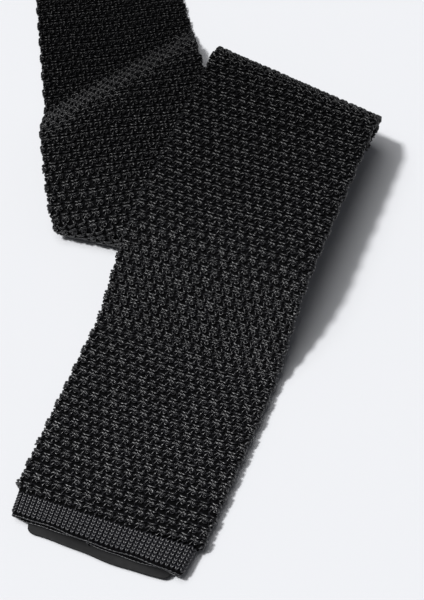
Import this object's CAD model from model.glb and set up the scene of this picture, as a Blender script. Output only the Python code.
"""Square-ended black silk knit tie, folded over on itself, with the rest stacked flat.

The tie is one knitted tube. Its route is walked as in the CAD, and every yarn is mapped
onto that route by its place in the cloth: s along the strip, q round the flattened tube
and z out of the cloth. Lengths here are millimetres until a mesh is made.
"""

import math

import bpy
import numpy as np
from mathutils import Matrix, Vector


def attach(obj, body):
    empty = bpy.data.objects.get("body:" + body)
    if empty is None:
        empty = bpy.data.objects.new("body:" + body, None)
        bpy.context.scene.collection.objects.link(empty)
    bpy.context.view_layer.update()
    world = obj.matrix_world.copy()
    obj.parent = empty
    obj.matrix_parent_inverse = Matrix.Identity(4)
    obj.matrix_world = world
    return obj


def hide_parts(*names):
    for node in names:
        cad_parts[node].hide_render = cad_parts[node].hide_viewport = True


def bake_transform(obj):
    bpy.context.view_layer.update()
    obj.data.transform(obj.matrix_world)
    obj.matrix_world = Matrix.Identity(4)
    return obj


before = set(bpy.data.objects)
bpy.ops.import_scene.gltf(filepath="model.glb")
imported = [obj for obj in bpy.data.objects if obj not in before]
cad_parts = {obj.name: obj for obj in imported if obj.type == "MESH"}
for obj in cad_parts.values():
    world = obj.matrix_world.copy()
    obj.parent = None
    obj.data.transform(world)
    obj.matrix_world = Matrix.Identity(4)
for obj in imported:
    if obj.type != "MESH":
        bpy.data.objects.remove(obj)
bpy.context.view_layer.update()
MM = 0.001
rng = np.random.default_rng(7)

# ---- the route, with the CAD's own lengths ------------------------------------------
HALF = 1.3
FOLD_LENGTH, FOLD_FRONT, FOLD_UNDER = 32.5, -8.5, -7.5
UNDER, HEADING = 59.5, 37.5
LOWER_RULING, SLOPE_RULING, SLOPE_ANGLE = -23.5, 27.0, 42.0
STACK_RUN, STACK_PITCH, TO_STACK = 172.0, 3.8, 62.0
FRONT_TOP, UPPER_BEND, CLIMB, LOWER_BEND, CLIMB_ANGLE = 54, 21, 17, 7.5, 36
BLADE_END, HEM = 66, 9.0   # the blade end's length includes the hem
LOWER_FOLD, LOWER_TURN, RISE, LEVEL, LEVEL_TURN = 13.5, 166, 15, 4, 14
HUMP, BRINK, FOOT = 30, 13, 7
END_WIDTH, BLADE_WIDTH, BRINK_WIDTH, FOOT_WIDTH = 59, 60, 57.5, 55
NECK_WIDTH, TAIL_WIDTH = 33, 46
LIFT_START = 12.0   # length of the tail that bends when the tail lifts
BEND_STEPS = 56


def turned(v, k, deg):
    a = math.radians(deg)
    c, s = math.cos(a), math.sin(a)
    return v * c + np.cross(k, v) * s + k * (k @ v) * (1 - c)


def leg(state, way, row):
    """The states along one row: [length, turn, first ruling, last ruling]."""
    length, turn, d0, d1 = row
    n = 1 if turn == 0 else BEND_STEPS
    s, p, t, nrm, _ = state
    out = [(s, p, t, nrm, d0)]
    for i in range(n):
        mid = math.radians(d0 + (d1 - d0) * (i + 0.5) / n)
        k = math.cos(mid) * np.cross(t, nrm) + math.sin(mid) * t
        t2, n2 = turned(t, k, -way * turn / n), turned(nrm, k, -way * turn / n)
        s, p = s + way * length / n, p + way * length / n / 2 * (t + t2)
        t, nrm = t2, n2
        out.append((s, p, t, nrm, d0 + (d1 - d0) * (i + 1) / n))
    return out


def walk(state, way, rows):
    legs = []
    for row in rows:
        legs.append(leg(state, way, row))
        state = legs[-1][-1]
    return legs


h0 = math.radians(HEADING)
start = (0.0, np.array([0, 0, HALF]), np.array([-math.sin(h0), -math.cos(h0), 0]),
         np.array([0, 0, -1.0]), 0.0)
front = walk(start, -1, [
    [UNDER / 2, 0, 0, FOLD_UNDER], [FOLD_LENGTH, 180, FOLD_UNDER, FOLD_FRONT],
    [FRONT_TOP, 0, FOLD_FRONT, 0], [UPPER_BEND, CLIMB_ANGLE, 0, 0], [CLIMB, 0, 0, 0],
    [LOWER_BEND, -CLIMB_ANGLE, 0, 0], [BLADE_END - HEM, 0, 0, 0], [HEM, 0, 0, 0]])
hump = walk(start, 1, [
    [UNDER / 2, 0, 0, LOWER_RULING], [LOWER_FOLD, LOWER_TURN, LOWER_RULING, LOWER_RULING],
    [RISE, 0, LOWER_RULING, LOWER_RULING], [LEVEL, LEVEL_TURN, LOWER_RULING, LOWER_RULING],
    [HUMP, 0, LOWER_RULING, SLOPE_RULING], [BRINK, SLOPE_ANGLE, SLOPE_RULING, SLOPE_RULING]])
brink = hump[-1][-1]
foot = [FOOT, -SLOPE_ANGLE, SLOPE_RULING, SLOPE_RULING]
drop = leg(brink, 1, foot)[-1][1][2] - HALF
far = walk(brink, 1, [[-drop / brink[2][2], 0, SLOPE_RULING, SLOPE_RULING], foot,
                      [TO_STACK + STACK_RUN, 0, SLOPE_RULING, 0]])
stack_rows = []
for i in range(1, 6):
    stack_rows += [[math.pi * STACK_PITCH / 2, -180 if i % 2 else 180, 0, 0],
                   [STACK_RUN, 0, 0, 0]]
stack_rows[-1:] = [[LIFT_START, 0, 0, 0], [STACK_RUN - LIFT_START - HEM, 0, 0, 0],
                   [HEM, 0, 0, 0]]
stack = walk(far[-1][-1], 1, stack_rows)

# All states in order from the front hem to the tail's, and the rows between them.
states, row_ends = [], []
for part in [list(reversed(x)) for x in reversed(front)] + hump + far + stack:
    first = len(states)
    states += part
    row_ends.append((first, len(states) - 1))
# The under run is two rows of the walk, so they are one row here.
row_ends[7:9] = [(row_ends[7][0], row_ends[8][1])]
S = np.array([x[0] for x in states])
P = np.array([x[1] for x in states])
T = np.array([x[2] for x in states])
N = np.array([x[3] for x in states])
W = np.cross(T, N)
SLANT = np.tan(np.radians([x[4] for x in states]))
(R_HEM, R_END, R_LOW_BEND, R_CLIMB, R_UP_BEND, R_TOP, R_FOLD, R_UNDER, R_LOWER, R_RISE,
 R_LEVEL, R_HUMP, R_BRINK, R_SLOPE, R_FOOT, R_SHOULDER, R_FAR1, R_NECK1, R_NEAR1, R_NECK2,
 R_FAR2, R_NECK3, R_NEAR2, R_TAILRUN, R_FAR3, R_LIFT, R_TAIL, R_TAIL_HEM) = range(28)
S_MIN, S_MAX = S[0], S[-1]
NECK = S[row_ends[R_SHOULDER][1]]

WIDTH_MARKS = np.array([
    [S_MIN, END_WIDTH], [S_MIN + 60, BLADE_WIDTH], [S[row_ends[R_HUMP][0]], BLADE_WIDTH],
    [S[row_ends[R_BRINK][0]], BRINK_WIDTH], [S[row_ends[R_FOOT][0]], FOOT_WIDTH],
    [NECK - 40, NECK_WIDTH], [NECK + 3 * STACK_RUN, NECK_WIDTH],
    [NECK + 4 * STACK_RUN, TAIL_WIDTH], [NECK + 8 * STACK_RUN, TAIL_WIDTH]])


def width(s):
    return np.interp(s, WIDTH_MARKS[:, 0], WIDTH_MARKS[:, 1])


def row_of(s, w):
    """Which row of the route the cloth point (s, w) lies in."""
    found = np.zeros(len(s), int)
    for r, (a, b) in enumerate(row_ends):
        found[s >= S[a] + w * SLANT[a]] = r
    return found


def place(s, w, h, row=None):
    """Where the cloth point (s, w), h above the middle of the cloth, lies in the room."""
    s, w, h = (np.asarray(x, float) for x in (s, w, h))
    if row is None:
        row = row_of(s, w)
    out = np.zeros((len(s), 3))
    for r in np.unique(row):
        a, b = row_ends[r]
        m = row == r
        sm, wm, hm = s[m], w[m], h[m]
        if b - a < BEND_STEPS:
            out[m] = P[a] + (sm - S[a])[:, None] * T[a] + wm[:, None] * W[a] + hm[:, None] * N[a]
            continue
        u = (sm - (S[a] + wm * SLANT[a])) / ((S[b] + wm * SLANT[b]) - (S[a] + wm * SLANT[a]))
        x = a + np.clip(u, 0, 1) * (b - a)
        i = np.minimum(x.astype(int), b - 1)
        f = (x - i)[:, None]
        pc, tc, nc = ((1 - f) * v[i] + f * v[i + 1] for v in (P, T, N))
        slant = (1 - f[:, 0]) * SLANT[i] + f[:, 0] * SLANT[i + 1]
        out[m] = pc + wm[:, None] * (np.cross(tc, nc) + slant[:, None] * tc) + hm[:, None] * nc
        over = (u - np.clip(u, 0, 1)) * (S[b] - S[a])
        out[m] += over[:, None] * tc
    return out


# ---- round the flattened tube -------------------------------------------------------
CORE = 0.62     # half the thickness of the ground cloth, both layers
HEM_CORE = 0.78
SIDE = 0.62     # how far the ground stays inside the strip's width
COLUMNS = 36


def smooth(x):
    x = np.clip(x, 0, 1)
    return x * x * (3 - 2 * x)


def hem_share(s):
    """1 in a hem, 0 in the blade, with a short turn between them."""
    return smooth((S_MIN + HEM + 0.8 - s) / 1.8) + smooth((s - S_MAX + HEM + 0.8) / 1.8)


def half_thick(s):
    return CORE + (HEM_CORE - CORE) * hem_share(s)


def half_span(s):
    """Half the width of the ground cloth's flat part."""
    end = np.maximum(S_MIN + HEM - s, s - S_MAX + HEM)
    return width(s) / 2 - SIDE - half_thick(s) - hem_share(s) * (1.6 + 0.09 * end)


def section(s, q, z):
    """q runs 0..1 round the tube from the middle of the front face. Returns w and h."""
    core = half_thick(s)
    a = half_span(s)
    flat, arc = 4 * a, 2 * math.pi * core
    d = np.mod(q, 1) * (flat + arc)
    r = core + z
    w, h = np.zeros_like(d), np.zeros_like(d)
    k1, k2, k3, k4 = a, a + arc / 2, 3 * a + arc / 2, 3 * a + arc
    m = d < k1
    w[m], h[m] = d[m], r[m]
    m = (d >= k1) & (d < k2)
    t = (d - k1)[m] / core[m]
    w[m], h[m] = a[m] + r[m] * np.sin(t), r[m] * np.cos(t)
    m = (d >= k2) & (d < k3)
    w[m], h[m] = (a - (d - k2))[m], -r[m]
    m = (d >= k3) & (d < k4)
    t = (d - k3)[m] / core[m]
    w[m], h[m] = -a[m] - r[m] * np.sin(t), -r[m] * np.cos(t)
    m = d >= k4
    w[m], h[m] = (-a + (d - k4))[m], r[m]
    return w, h


def round_tube(s, q, z, row=None):
    w, h = section(s, q, z)
    return place(s, w, h, row)


# ---- meshes ---------------------------------------------------------------------------
def mesh(name, points, faces, mat, uv=None, shade_smooth=True):
    me = bpy.data.meshes.new(name)
    points = np.asarray(points, np.float32) * MM
    faces = np.asarray(faces, np.int32)
    n, k = faces.shape
    me.vertices.add(len(points))
    me.vertices.foreach_set("co", points.ravel())
    me.loops.add(n * k)
    me.loops.foreach_set("vertex_index", faces.ravel())
    me.polygons.add(n)
    me.polygons.foreach_set("loop_start", np.arange(0, n * k, k, dtype=np.int32))
    me.polygons.foreach_set("loop_total", np.full(n, k, np.int32))
    me.update()
    if uv is not None:
        layer = me.uv_layers.new(name="yarn")
        layer.data.foreach_set("uv", np.asarray(uv, np.float32)[faces.ravel()].ravel())
    me.polygons.foreach_set("use_smooth", np.full(n, shade_smooth))
    me.validate()
    ob = bpy.data.objects.new(name, me)
    bpy.context.scene.collection.objects.link(ob)
    me.materials.append(mat)
    return ob


def tube(path, radius, sides, closed):
    """A tube round a path of one stitch: its local points, faces and yarn coordinates."""
    path = np.asarray(path, float)
    n = len(path)
    if closed:
        tangent = np.roll(path, -1, 0) - np.roll(path, 1, 0)
    else:
        tangent = np.gradient(path, axis=0)
    tangent /= np.linalg.norm(tangent, axis=1)[:, None]
    up = np.array([0, 0, 1.0])
    side = np.cross(tangent, up)
    side /= np.maximum(np.linalg.norm(side, axis=1), 1e-6)[:, None]
    up = np.cross(side, tangent)
    radius = np.broadcast_to(radius, n)
    ang = np.arange(sides) * 2 * math.pi / sides
    ring = (np.cos(ang)[None, :, None] * side[:, None] + np.sin(ang)[None, :, None] * up[:, None])
    points = (path[:, None] + ring * radius[:, None, None]).reshape(-1, 3)
    along = np.concatenate([[0], np.cumsum(np.linalg.norm(np.diff(path, axis=0), axis=1))])
    uv = np.stack([np.repeat(along, sides), np.tile(ang, n)], 1)
    last = n if closed else n - 1
    faces = [[i * sides + j, i * sides + (j + 1) % sides,
              (i + 1) % n * sides + (j + 1) % sides, (i + 1) % n * sides + j]
             for i in range(last) for j in range(sides)]
    return points, np.array(faces), uv


def join(parts):
    points, faces, uv, base = [], [], [], 0
    for p, f, u in parts:
        points.append(p)
        faces.append(f + base)
        uv.append(u)
        base += len(p)
    return np.concatenate(points), np.concatenate(faces), np.concatenate(uv)


def arc_path(points, n):
    """A smooth open path through a few points (Catmull-Rom)."""
    p = np.asarray(points, float)
    p = np.concatenate([[2 * p[0] - p[1]], p, [2 * p[-1] - p[-2]]])
    x = np.linspace(0, len(p) - 3 - 1e-9, n)
    i = x.astype(int)
    t = (x - i)[:, None]
    a, b, c, d = p[i], p[i + 1], p[i + 2], p[i + 3]
    return 0.5 * (2 * b + (c - a) * t + (2 * a - 5 * b + 4 * c - d) * t**2
                  + (3 * b - a - 3 * c + d) * t**3)


# One cell of the crochet-like knit, in millimetres: x along the strip towards the tail,
# y across and z out of the cloth. Each has two bars with a small loop under the lower
# one, and thinner strands that run on to its neighbours. The rows are set like bricks.
PITCH, STEP = 3.33, 3.38
YARN = 0.35     # radius of the yarn in the bars
SHIFT, SPIN, TILT, GROWTH, LIFT = 0.07, 0.06, 0.05, 0.03, 0.03   # how much cells differ
KNOB = 0.16     # how far the knit stands out along both edges
MOST_TRIS = 190000


def swell(n, lobes):
    """The yarn's thickness along a bar: full in its lobes, drawn in at its ends."""
    u = np.linspace(0, 1, n)
    return (0.62 + 0.38 * np.sin(np.pi * u) ** 0.35) * (1 - 0.07 * np.cos(2 * np.pi * lobes * u))


def cell(fine):
    """The strands of one cell, with more points and strands the higher fine (0 to 2) is."""
    n, sides = ((9, 7), (7, 5), (5, 4))[2 - fine]
    upper = arc_path([[1.45, -1.66, -0.15], [0.98, -1.2, 0.26], [0.72, -0.6, 0.48],
                      [0.82, 0.0, 0.34], [0.72, 0.6, 0.48], [0.98, 1.2, 0.28],
                      [1.5, 1.62, -0.15]], n)
    lower = arc_path([[-0.9, -1.72, -0.15], [-0.5, -1.28, 0.26], [-0.2, -0.64, 0.48],
                      [-0.32, 0.0, 0.34], [-0.2, 0.6, 0.48], [-0.42, 1.22, 0.32],
                      [-0.85, 1.68, -0.1]], n)
    parts = [tube(upper, YARN * swell(n, 2), sides, False),
             tube(lower, YARN * swell(n, 2), sides, False)]
    m = (9, 6, 5)[2 - fine]
    a = np.arange(m) * 2 * math.pi / m
    loop = np.stack([-1.04 + 0.46 * np.cos(a), 0.6 + 0.56 * np.sin(a),
                     0.3 - 0.12 * np.cos(a)], 1)
    parts.append(tube(loop, YARN * 0.72, max(4, sides - 2), True))
    if fine:
        m = 6 if fine == 2 else 4
        leg_path = arc_path([[-0.25, -0.2, 0.36], [-0.95, -0.42, 0.32], [-1.55, -0.75, 0.2],
                             [-2.2, -0.95, -0.2]], m)
        link = arc_path([[0.9, 1.0, 0.34], [1.45, 0.95, 0.22], [1.95, 0.6, 0.08],
                         [2.5, 0.3, -0.2]], m)
        between = arc_path([[0.3, -1.4, -0.15], [0.2, -0.7, 0.05], [0.3, 0.0, 0.02],
                            [0.2, 0.7, 0.05], [0.3, 1.4, -0.15]], m)
        parts += [tube(leg_path, YARN * 0.72, 5, False), tube(link, YARN * 0.66, 5, False),
                  tube(between, YARN * 0.55, 4, False)]
    return join(parts)


ROW_SCALE = np.array([
    [S_MIN, 1.0], [S_MIN + 100, 1.0], [S_MIN + 122, 1.12], [S_MIN + 165, 1.12],
    [S_MIN + 190, 1.0], [S[row_ends[R_LOWER][0]], 1.05], [S[row_ends[R_HUMP][1]], 1.06],
    [S[row_ends[R_FOOT][0]] - 6, 1.1], [S[row_ends[R_FOOT][1]] + 4, 1.1],
    [S[row_ends[R_FOOT][1]] + 40, 0.9], [NECK - 40, 0.86], [S_MAX, 0.9]])


def row_places(a, b):
    out, s = [], a
    while s < b:
        out.append(s)
        s += STEP * np.interp(s, ROW_SCALE[:, 0], ROW_SCALE[:, 1])
    return np.array(out)


def hem_line(w):
    """How deep the plain knit is at w: it dips a little to one side."""
    return 8.7 + 0.042 * w + 0.0006 * w * w


def lean(s, w):
    """How far a course strays from straight across: pulled towards one edge near the hem."""
    d = s - S_MIN
    pull = 3.2 * (np.maximum(0, w + 2) / 31) ** 1.4 + 0.8 * (np.maximum(0, -w - 5) / 24) ** 1.5
    ends = (hem_line(w) - HEM) * np.exp(-np.maximum(0, d - HEM) / 10)
    sway = 0.3 * np.sin(0.15 * w + d / 21) + 0.2 * np.sin(-0.11 * w + d / 13 + 1)
    return (ends + pull * smooth((d - HEM) / 17) * (1 - smooth((d - 55) / 45))
            + sway * smooth((d - HEM) / 12))


ROWS = row_places(S_MIN + HEM + 1.55, S_MAX - HEM - 1.2)
cells_s = np.repeat(ROWS, COLUMNS)
cells_odd = np.repeat(np.arange(len(ROWS)) % 2, COLUMNS)
cells_q = (np.tile(np.arange(COLUMNS), len(ROWS)) + 0.5 * cells_odd) / COLUMNS
cells_k = np.interp(cells_s, ROW_SCALE[:, 0], ROW_SCALE[:, 1])
count = len(cells_s)
jitter = rng.normal(size=(count, 6))
cells_w, cells_h = section(cells_s, cells_q, np.zeros(count))
cells_edge = smooth((np.abs(cells_w) - half_span(cells_s) + 0.5) / 0.9)
cells_s = cells_s + lean(cells_s, cells_w)
cells_row = row_of(cells_s, cells_w)


def knit(name, idx, fine, mat, body=None):
    """Maps one stitch cell onto the places in idx, as one piece."""
    base, faces, uv = cell(fine)
    k, j = cells_k[idx], jitter[idx]
    spin, tilt = SPIN * j[:, 2], TILT * j[:, 3]
    grow = 1 + GROWTH * j[:, 4]
    x, y, z = (base[None, :, c] for c in range(3))
    c, s = np.cos(spin)[:, None], np.sin(spin)[:, None]
    lx = (x * c - y * s) * grow[:, None] + SHIFT * j[:, :1]
    ly = (x * s + y * c) * grow[:, None] + SHIFT * j[:, 1:2]
    lz = z + lx * tilt[:, None] + LIFT * j[:, 5:6] + KNOB * cells_edge[idx][:, None]
    sv = cells_s[idx][:, None] + lx * k[:, None]
    qv = cells_q[idx][:, None] + ly / (COLUMNS * PITCH)
    zv = lz * np.sqrt(k)[:, None]
    pts = round_tube(sv.ravel(), qv.ravel(), zv.ravel())
    n = len(base)
    all_faces = (faces[None] + (np.arange(len(idx)) * n)[:, None, None]).reshape(-1, 4)
    all_uv = np.tile(uv, (len(idx), 1))
    all_uv[:, 0] += np.repeat(idx % 97, n) * 1.7
    ob = mesh(name, pts, all_faces, mat, uv=all_uv)
    if body:
        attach(ob, body)
    return ob


def hem_point(front_end, d, q, z):
    """A point of a hem, d from its rim. The two lips of the rim wave a little."""
    s = S_MIN + d if front_end else S_MAX - d
    w, h = section(s, q, z)
    side = np.where(h < 0, -1.0, 1.0)
    deep = d * (hem_line(w) / HEM if front_end else 1.0)
    fade = np.exp(-np.maximum(d, 0) / 2.2) * smooth((half_span(s) - np.abs(w)) / 4)
    deep = deep - fade * (0.3 * np.sin(0.21 * w + 1 + 0.8 * side) + 0.14 * np.sin(0.5 * w - side))
    h = h + fade * np.where(h < 0, -0.12, 0.36 + 0.22 * np.sin(0.19 * w + 2.1))
    return place(S_MIN + deep if front_end else S_MAX - deep, w, h)


def ground(name, rows, mat, hem=None, ring=120, step=3.0):
    """A closed flattened tube of ground cloth along these rows of the route. In a hem it
    turns in at the rim and runs back inside, so that the tube's mouth is open."""
    loops = []
    q = np.arange(ring) / ring
    for r in rows:
        a, b = row_ends[r]
        n = BEND_STEPS // 2 if b - a >= BEND_STEPS else max(2, int((S[b] - S[a]) / step))
        for i in range(n + 1):
            if i == 0 and loops:
                continue
            u = i / n
            w0, _ = section(np.full(ring, S[a] + u * (S[b] - S[a])), q, np.zeros(ring))
            s = (1 - u) * (S[a] + w0 * SLANT[a]) + u * (S[b] + w0 * SLANT[b])
            w, h = section(s, q, np.zeros(ring))
            loops.append(place(s, w, h, np.full(ring, r)))
    if hem:
        outer = [(d, 0.0) for d in (8.6, 7.0, 5.5, 4.0, 2.8, 1.8, 1.0, 0.5, 0.15)]
        rim = [(0.0, -0.1), (0.02, -0.28)]
        inner = [(d, -0.38) for d in (0.3, 1.0, 2.5, 5.0, 7.5)]
        lips = [hem_point(hem == "front", np.full(ring, d), q, np.full(ring, z))
                for d, z in outer + rim + inner]
        loops = lips[::-1] + loops if hem == "front" else loops + lips
    pts = np.concatenate(loops)
    n = len(loops)
    faces = [[i * ring + j, i * ring + (j + 1) % ring, (i + 1) * ring + (j + 1) % ring,
              (i + 1) * ring + j] for i in range(n - 1) for j in range(ring)]
    # The ends are closed flat, by quads from the middle of one edge to that of the other.
    quarter = ring // 4
    for base, flip in ((0, True), ((n - 1) * ring, False)):
        for j in range(ring // 2 - 1):
            corners = (quarter - j, quarter + 1 + j, quarter + 2 + j, quarter - j - 1)
            face = [base + c % ring for c in corners]
            faces.append(face[::-1] if flip else face)
    return mesh(name, pts, faces, mat)


# ---- materials ------------------------------------------------------------------------
def add_node(nt, kind, inputs=None, operation=None):
    """A shader node whose inputs are set to values or linked from other nodes' outputs."""
    node = nt.nodes.new("ShaderNode" + kind)
    if operation:
        node.operation = operation
    for key, value in (inputs or {}).items():
        if isinstance(value, bpy.types.NodeSocket):
            nt.links.new(value, node.inputs[key])
        else:
            node.inputs[key].default_value = value
    return node


PALE_Y, DARK_Y = -0.1, 0.05     # between these, in metres, the yarn's look changes


def along_tie(nt, where, near, far):
    """A value that goes from near, at the front blade's end, to far, towards the neck."""
    y = add_node(nt, "SeparateXYZ", {0: where}).outputs[1]
    return add_node(nt, "MapRange", {"Value": y, "From Min": PALE_Y, "From Max": DARK_Y,
                                     "To Min": near, "To Max": far})


def twisted_plies(nt, height, depth):
    """Adds stripes that run round the yarn as they go along it."""
    uvs = add_node(nt, "UVMap")
    uvs.uv_map = "yarn"
    parts = add_node(nt, "SeparateXYZ", {0: uvs.outputs["UV"]})
    along = add_node(nt, "Math", {0: parts.outputs[0], 1: 5.0}, "MULTIPLY")
    twist = add_node(nt, "Math", {0: parts.outputs[1], 1: 3.0, 2: along.outputs[0]},
                     "MULTIPLY_ADD")
    wave = add_node(nt, "Math", {0: twist.outputs[0]}, "SINE")
    return add_node(nt, "Math", {0: wave.outputs[0], 1: depth, 2: height},
                    "MULTIPLY_ADD").outputs[0]


def material(name, dark, light, rough, scale, ply=0.0, sheen=0.15, bump=0.3, specular=0.5,
             fade=0.0):
    """A dark fibre, mottled in colour and gloss, with fine fuzz and, if ply, twisted plies."""
    mat = bpy.data.materials.new(name)
    mat.use_nodes = True
    nt = mat.node_tree
    bsdf = nt.nodes["Principled BSDF"]
    where = add_node(nt, "TexCoord").outputs["Object"]
    noise = add_node(nt, "TexNoise", {"Vector": where, "Scale": scale, "Detail": 5})
    mottle = noise.outputs["Fac"]
    ramp = add_node(nt, "ValToRGB", {"Fac": mottle})
    for element, position, colour in zip(ramp.color_ramp.elements, (0.3, 0.7), (dark, light)):
        element.position = position
        element.color = (*colour, 1)
    colour = ramp.outputs["Color"]
    bsdf.inputs["Specular IOR Level"].default_value = specular
    if fade:
        # The yarn is paler and more lustrous towards the end of the front blade.
        tone = along_tie(nt, where, 1.0, fade)
        tone.interpolation_type = "SMOOTHSTEP"
        colour = add_node(nt, "VectorMath", {0: colour, "Scale": tone.outputs["Result"]},
                          "SCALE").outputs[0]
        lustre = along_tie(nt, where, specular, specular * fade)
        nt.links.new(lustre.outputs["Result"], bsdf.inputs["Specular IOR Level"])
    nt.links.new(colour, bsdf.inputs["Base Color"])
    gloss = add_node(nt, "MapRange", {"Value": mottle, "To Min": rough[0], "To Max": rough[1]})
    nt.links.new(gloss.outputs["Result"], bsdf.inputs["Roughness"])
    bsdf.inputs["Sheen Weight"].default_value = sheen
    bsdf.inputs["Sheen Roughness"].default_value = 0.4
    height = add_node(nt, "TexNoise", {"Vector": where, "Scale": 9000}).outputs["Fac"]
    if ply:
        height = twisted_plies(nt, height, ply)
    node = add_node(nt, "Bump", {"Strength": bump, "Distance": 0.0001, "Height": height})
    nt.links.new(node.outputs["Normal"], bsdf.inputs["Normal"])
    return mat


silk = material("silk_yarn", (0.0028, 0.0028, 0.0036), (0.0092, 0.0092, 0.0116), (0.26, 0.37), 900,
                ply=0.6, sheen=0.0, bump=0.5, specular=0.76, fade=0.3)
under_silk = material("silk_ground", (0.0008, 0.0008, 0.001), (0.002, 0.002, 0.0022),
                      (0.7, 0.9), 1500, sheen=0.0, bump=0.3, specular=0.05)
hem_silk = material("hem_yarn", (0.007, 0.007, 0.009), (0.017, 0.017, 0.0215), (0.3, 0.42), 900,
                    ply=0.5, sheen=0.0, bump=0.4, specular=0.65)
tape = material("facing_satin", (0.0025, 0.0025, 0.003), (0.004, 0.004, 0.0046), (0.55, 0.7), 700,
                sheen=0.0, bump=0.25, specular=0.22)
thread = material("thread", (0.02, 0.02, 0.023), (0.035, 0.035, 0.04), (0.4, 0.5), 1500,
                  sheen=0.1, bump=0.3)
ribbon = material("ribbon", (0.012, 0.012, 0.014), (0.022, 0.022, 0.026), (0.38, 0.5), 800,
                  sheen=0.1, bump=0.3)
ribbon_weave = material("label_satin", (0.02, 0.02, 0.024), (0.034, 0.034, 0.04), (0.3, 0.42),
                        1200, sheen=0.1, bump=0.25)

# ---- the cloth ------------------------------------------------------------------------
FRONT_ROWS = list(range(R_END, R_FOLD))
ROOT_ROWS = list(range(R_UNDER, R_FAR3))
facing_back = cells_h < -0.2
in_rows = lambda rows: np.isin(cells_row, rows)

relief = {"front_run": [], "top_fold": [], "folded_strip": [], "far_fold": [], "tail_end": []}


def add(group, name, pick, fine, body):
    """Adds the stitches in pick as pieces of at most MOST_TRIS triangles, row by row."""
    idx = np.nonzero(pick)[0]
    parts = math.ceil(len(idx) * 2 * len(cell(fine)[1]) / MOST_TRIS)
    for i, share in enumerate(np.array_split(idx, parts)):
        ob = knit(name + (f"_{i + 1}" if parts > 1 else ""), share, fine, silk, body)
        relief[group].append(ob)


for label, rows in (("end", [R_END]), ("climb", [R_LOW_BEND, R_CLIMB, R_UP_BEND]),
                    ("top", [R_TOP])):
    add("front_run", f"knit_front_{label}_face", in_rows(rows) & ~facing_back, 2, "front_run")
    add("front_run", f"knit_front_{label}_back", in_rows(rows) & facing_back, 1, "front_run")
for label, rows, fine in (
        ("under", [R_UNDER], 1), ("lower_fold", [R_LOWER, R_RISE, R_LEVEL], 2),
        ("hump", [R_HUMP, R_BRINK, R_SLOPE, R_FOOT], 2), ("shoulder", [R_SHOULDER], 2)):
    add("folded_strip", f"knit_{label}_face", in_rows(rows) & ~facing_back, fine, "folded_strip")
    add("folded_strip", f"knit_{label}_back", in_rows(rows) & facing_back, min(fine, 1),
        "folded_strip")
for label, rows in (("neck_1", [R_FAR1, R_NECK1]), ("neck_2", [R_NEAR1, R_NECK2]),
                    ("neck_3", [R_FAR2, R_NECK3]), ("tail_run", [R_NEAR2, R_TAILRUN])):
    add("folded_strip", f"knit_{label}", in_rows(rows), 0, "folded_strip")
add("top_fold", "knit_top_fold", in_rows([R_FOLD]), 1, None)
add("far_fold", "knit_far_fold_3", in_rows([R_FAR3, R_LIFT]), 1, None)
add("tail_end", "knit_tail_face", in_rows([R_TAIL]) & ~facing_back, 1, "tail_end")
add("tail_end", "knit_tail_back", in_rows([R_TAIL]) & facing_back, 1, "tail_end")

front_cloth = ground("cloth_front_run", FRONT_ROWS, under_silk, hem="front")
fold_cloth = ground("cloth_top_fold", [R_FOLD], under_silk)
strip_cloth = ground("cloth_folded_strip", ROOT_ROWS, under_silk)
far_cloth = ground("cloth_far_fold_3", [R_FAR3, R_LIFT], under_silk)
tail_cloth = ground("cloth_tail_end", [R_TAIL], under_silk, hem="tail")
for ob, body in ((front_cloth, "front_run"), (strip_cloth, "folded_strip"),
                 (tail_cloth, "tail_end")):
    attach(ob, body)

# ---- hems -----------------------------------------------------------------------------
def hem_knit(name, front_end, wales, courses, body, group):
    """Plain knit: one V of two strands for every wale and course."""
    half_v = arc_path([[0.86, -0.62, -0.2], [0.5, -0.5, 0.22], [0.0, -0.27, 0.36],
                       [-0.42, -0.12, 0.2], [-0.7, -0.04, -0.2]], 7)
    thick = 0.23 * swell(7, 1)
    base, faces, uv = join([tube(half_v, thick, 6, False),
                            tube(half_v * [1, -1, 1], thick, 6, False)])
    n, count = len(base), wales * courses
    course = np.repeat(np.arange(courses), wales)
    wale = np.tile(np.arange(wales), courses)
    j = rng.normal(size=(count, 3)) * [0.04, 0.012, 0.02]
    d = 1.45 + 1.05 * course[:, None] + base[None, :, 0] + j[:, :1]
    q = (wale[:, None] + 0.93 * base[None, :, 1] / 1.16 + j[:, 1:2]) / wales
    z = base[None, :, 2] * 0.95 + j[:, 2:]
    pts = hem_point(front_end, d.ravel(), q.ravel(), z.ravel())
    all_faces = (faces[None] + (np.arange(count) * n)[:, None, None]).reshape(-1, 4)
    ob = mesh(name, pts, all_faces, hem_silk, uv=np.tile(uv, (count, 1)))
    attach(ob, body)
    relief[group].append(ob)


def path_tube(name, path, radius, sides, closed, mat, body):
    points, faces, uv = tube(path, radius, sides, closed)
    ob = mesh(name, points, faces, mat, uv=uv)
    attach(ob, body)
    return ob


def rim_cord(name, front_end, body, group):
    """The bound-off edge that runs round the mouth of a hem."""
    n = 420
    q = np.arange(n) / n
    knots = np.sin(2 * math.pi * 70 * q)
    path = hem_point(front_end, np.full(n, -0.02) + 0.03 * knots, q, -0.12 + 0.03 * knots)
    ob = path_tube(name, path, 0.2 + 0.03 * knots, 6, True, hem_silk, body)
    relief[group].append(ob)


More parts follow.
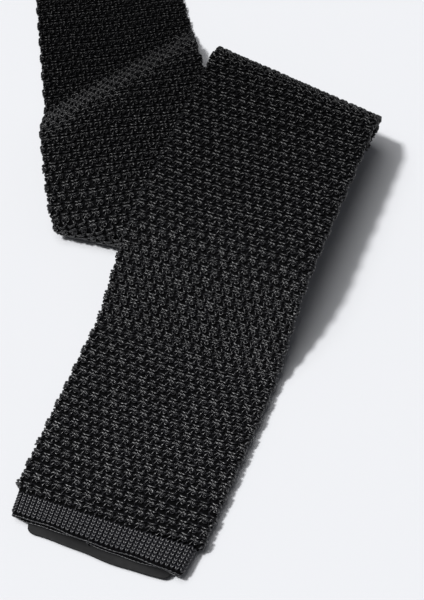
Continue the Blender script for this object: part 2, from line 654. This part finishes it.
def slab(name, place_points, nx, ny, mat, body):
    """A thin closed piece: place_points(x, y, side) gives its two faces on an nx by ny grid."""
    x, y = (g.ravel() for g in np.meshgrid(np.linspace(0, 1, nx), np.linspace(-1, 1, ny),
                                           indexing="ij"))
    pts = np.concatenate([place_points(x, y, 1), place_points(x, y, -1)])
    grid = np.arange(nx * ny).reshape(nx, ny)
    cell_faces = np.stack([grid[:-1, :-1], grid[1:, :-1], grid[1:, 1:], grid[:-1, 1:]], -1)
    top = cell_faces.reshape(-1, 4)
    rim = np.concatenate([grid[:, 0], grid[-1, 1:], grid[-2::-1, -1], grid[0, -2:0:-1]])
    nxt = np.roll(rim, -1)
    side = np.stack([rim, rim + nx * ny, nxt + nx * ny, nxt], 1)
    ob = mesh(name, pts, np.concatenate([top, top[:, ::-1] + nx * ny, side]), mat)
    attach(ob, body)
    return ob


def facing(name, front_end, half_w, middle, body):
    """Facing tape on the back of a hem. Its lip shows past the rim, with round corners."""
    corner, inner, lip = 2.8, 7.6, 2.8

    def at(x, y, side):
        across = y * half_w
        over = np.maximum(np.abs(across) - (half_w - corner), 0)
        out = lip - (corner - np.sqrt(np.maximum(corner**2 - over**2, 0)))
        out = out + 0.22 * np.sin(0.16 * across + 0.6) + 0.08 * np.sin(0.47 * across)
        out = out - 0.7 * smooth((across - 4) / 20)
        along = 1 - (1 - x) ** 1.6
        d = inner - along * (inner + out)
        edge = np.sqrt(np.clip(1 - along**30, 0.05, 1)) * np.sqrt(np.clip(1 - y**60, 0.05, 1))
        sag = 0.3 * smooth(-d / 3) * (1 + 0.4 * np.sin(0.2 * across))
        h = -HALF - 0.36 + side * 0.28 * edge - sag
        w = middle + across
        s = S_MIN + d if front_end else S_MAX - d
        return place(s, w, h)

    return slab(name, at, 26, 90, tape, body)


HEM_COURSES = 7
hem_knit("knit_front_hem", True, 70, HEM_COURSES, "front_run", "front_run")
hem_knit("knit_tail_hem", False, 54, HEM_COURSES, "tail_end", "tail_end")
rim_cord("rim_front_hem", True, "front_run", "front_run")
rim_cord("rim_tail_hem", False, "tail_end", "tail_end")
front_facing = facing("facing_front_hem", True, 22.6, 1.2, "front_run")
tail_facing = facing("facing_tail_hem", False, 16.2, 0.0, "tail_end")

# ---- keeper, label and stitches -------------------------------------------------------------
KEEPER_S, KEEPER_LONG, KEEPER_HALF = S_MIN + 82, 8.8, 22
LABEL_S, LABEL_LONG, LABEL_HALF = S_MIN + 44, 19.8, 17.9
LABEL_SEAM = 8.8    # from the label's middle to each row of its stitches


def keeper_at(x, y, side):
    """A ribbed strap that stands off in the middle to let the tail through."""
    across = KEEPER_HALF * y
    stand = 1.05 * (1 - np.abs(y) ** 5)
    rib = 0.05 * np.sin(2 * math.pi * across / 0.85)
    edge = np.clip((0.5 - np.abs(x - 0.5)) / 0.06, 0.25, 1)
    h = -HALF - 0.42 - stand + side * (0.3 * edge + np.abs(side - 1) / 2 * rib)
    return place(KEEPER_S + (x - 0.5) * KEEPER_LONG, across, h)


keeper = slab("keeper_strap", keeper_at, 14, 240, ribbon, "front_run")


def label_at(x, y, side):
    across, along = LABEL_HALF * y, (x - 0.5) * LABEL_LONG
    border = np.maximum(np.abs(y), np.abs(2 * x - 1))
    h = -HALF - 0.24 + side * 0.12 - 0.05 * smooth((border - 0.9) * 12) + 0.03 * np.sin(
        0.3 * across + 0.4 * along)
    return place(LABEL_S + along, across, h)


label = slab("label_patch", label_at, 30, 60, ribbon_weave, "front_run")


def dashes(name, ends, mat, body, radius=0.13, loft=0.16):
    """Short sewing stitches, each a low arch of thread from a to b (in s, w and h)."""
    parts = []
    for a, b in ends:
        a, b = np.array(a, float), np.array(b, float)
        u = np.linspace(0, 1, 7)
        line = a + (b - a) * u[:, None]
        line[:, 2] += np.sign(line[:, 2]) * loft * np.sin(math.pi * u)
        path = place(line[:, 0], line[:, 1], line[:, 2])
        parts.append(tube(path, radius * (0.7 + 0.3 * np.sin(math.pi * u)), 6, False))
    points, faces, uv = join(parts)
    ob = mesh(name, points, faces, mat, uv=uv)
    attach(ob, body)
    return ob


def sewn_row(s, w0, w1, h, pitch=2.1, length=1.4):
    return [((s + 0.08 * (-1) ** k, w, h), (s - 0.08 * (-1) ** k, w + length, h))
            for k, w in enumerate(np.arange(w0, w1 - length, pitch))]


label_low = dashes(
    "label_stitches_low", sewn_row(LABEL_S - LABEL_SEAM, -16.6, 16.8, -HALF - 0.42), thread,
    "front_run")
label_high = dashes(
    "label_stitches_high", sewn_row(LABEL_S + LABEL_SEAM, -16.6, 16.8, -HALF - 0.42), thread,
    "front_run")


def bar_tack(name, w):
    ends = [((KEEPER_S - 3.6 + 1.2 * k, w - 0.5, -HALF - 0.75),
             (KEEPER_S - 3.0 + 1.2 * k, w + 0.5, -HALF - 0.75)) for k in range(6)]
    return dashes(name, ends, thread, "front_run", radius=0.15)


tack_left = bar_tack("keeper_tack_threads_left", -20.9)
tack_right = bar_tack("keeper_tack_threads_right", 20.9)


def lip_stitch(name, front_end, w, body):
    """One stitch that holds the two lips of a hem together."""
    line = arc_path([[1.0, 1.05], [0.1, 1.16], [-0.36, 0.6], [-0.42, -0.5], [-0.3, -1.2],
                     [0.8, -1.3]], 12)
    s = S_MIN + line[:, 0] if front_end else S_MAX - line[:, 0]
    path = place(s, np.full(12, w) + 0.12 * np.sin(np.arange(12)), line[:, 1])
    return path_tube(name, path, 0.16, 6, False, thread, body)


front_stitch = lip_stitch("lip_stitch_front", True, -2.3, "front_run")
tail_stitch = lip_stitch("lip_stitch_tail", False, 5.0, "tail_end")
stay_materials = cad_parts["neck_stay_tape"].data.materials
stay_materials.clear()
stay_materials.append(ribbon)

# ---- stage, light and camera ------------------------------------------------------------
def flat_material(name, colour):
    mat = bpy.data.materials.new(name)
    mat.use_nodes = True
    bsdf = mat.node_tree.nodes["Principled BSDF"]
    bsdf.inputs["Base Color"].default_value = (*colour, 1)
    bsdf.inputs["Roughness"].default_value = 0.9
    bsdf.inputs["Specular IOR Level"].default_value = 0.1
    return mat


FLOOR_HALF = 9000
floor = mesh("floor", [[x * FLOOR_HALF, y * FLOOR_HALF, 0]
                       for x, y in ((-1, -1), (1, -1), (1, 1), (-1, 1))],
             [[0, 1, 2, 3]], flat_material("floor_paper", (0.755, 0.763, 0.785)),
             shade_smooth=False)

scene = bpy.context.scene
scene.view_settings.view_transform = "Standard"
world = bpy.data.worlds.new("studio")
world.use_nodes = True
# The studio is dim to the cloth, and pale where it is seen past the floor's far edge.
sky = world.node_tree.nodes["Background"]
sky.inputs["Color"].default_value = (0.9, 0.92, 1.0, 1)
rays = world.node_tree.nodes.new("ShaderNodeLightPath")
dim = world.node_tree.nodes.new("ShaderNodeMapRange")
dim.inputs["To Min"].default_value = 0.08
dim.inputs["To Max"].default_value = 0.9
world.node_tree.links.new(rays.outputs["Is Camera Ray"], dim.inputs["Value"])
world.node_tree.links.new(dim.outputs["Result"], sky.inputs["Strength"])
scene.world = world


def far_light(name, place_m, spread_deg, energy):
    """A studio light far enough off to light the whole floor evenly."""
    light = bpy.data.lights.new(name, "SUN")
    light.angle = math.radians(spread_deg)
    light.energy = energy
    ob = bpy.data.objects.new(name, light)
    scene.collection.objects.link(ob)
    ob.location = place_m
    ob.rotation_euler = (-Vector(place_m)).to_track_quat("-Z", "Y").to_euler()


far_light("key", (-0.98, -0.2, 1.98), 7.5, 2.6)
far_light("softbox", (-0.5, 0.0, 1.7), 42, 1.17)

CAMERA_AIM, CAMERA_AWAY, CAMERA_UP = np.array([-3.19, -42.85, 0]), 560, math.radians(58.11)
camera = bpy.data.cameras.new("camera")
camera.lens = 106.95
camera_object = bpy.data.objects.new("camera", camera)
scene.collection.objects.link(camera_object)
camera_object.location = MM * (
    CAMERA_AIM + CAMERA_AWAY * np.array([0, -math.cos(CAMERA_UP), math.sin(CAMERA_UP)]))
camera_object.rotation_euler = (math.pi / 2 - CAMERA_UP, 0, 0)
scene.camera = camera_object

# ---- what moves with what ----------------------------------------------------------------
for ob in (fold_cloth, *relief["top_fold"]):
    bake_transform(ob)
for ob in (far_cloth, *relief["far_fold"]):
    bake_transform(ob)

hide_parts("front_hem", "front_blade_end", "front_lower_bend", "front_climb",
            "front_upper_bend", "front_blade_top")
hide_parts("top_fold_front", "top_fold_under")
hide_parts("under_run", "lower_fold", "rise", "rise_bend", "hump_top",
            "hump_bend", "slope", "foot_bend", "shoulder_run", "far_fold_1", "neck_run_1",
            "near_fold_1", "neck_run_2", "far_fold_2", "neck_run_3", "near_fold_2", "tail_run")
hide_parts("far_fold_3")
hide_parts("tail_blade", "tail_hem")
for ob, node in ((front_facing, "front_hem_facing"), (tail_facing, "tail_hem_facing"),
                 (front_stitch, "front_hem_stitch"), (tail_stitch, "tail_hem_stitch"),
                 (keeper, "keeper_loop"), (tack_left, "keeper_tack_left"),
                 (tack_right, "keeper_tack_right"), (label, "maker_label"),
                 (label_low, "label_stitch_low"), (label_high, "label_stitch_high")):
    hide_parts(node)
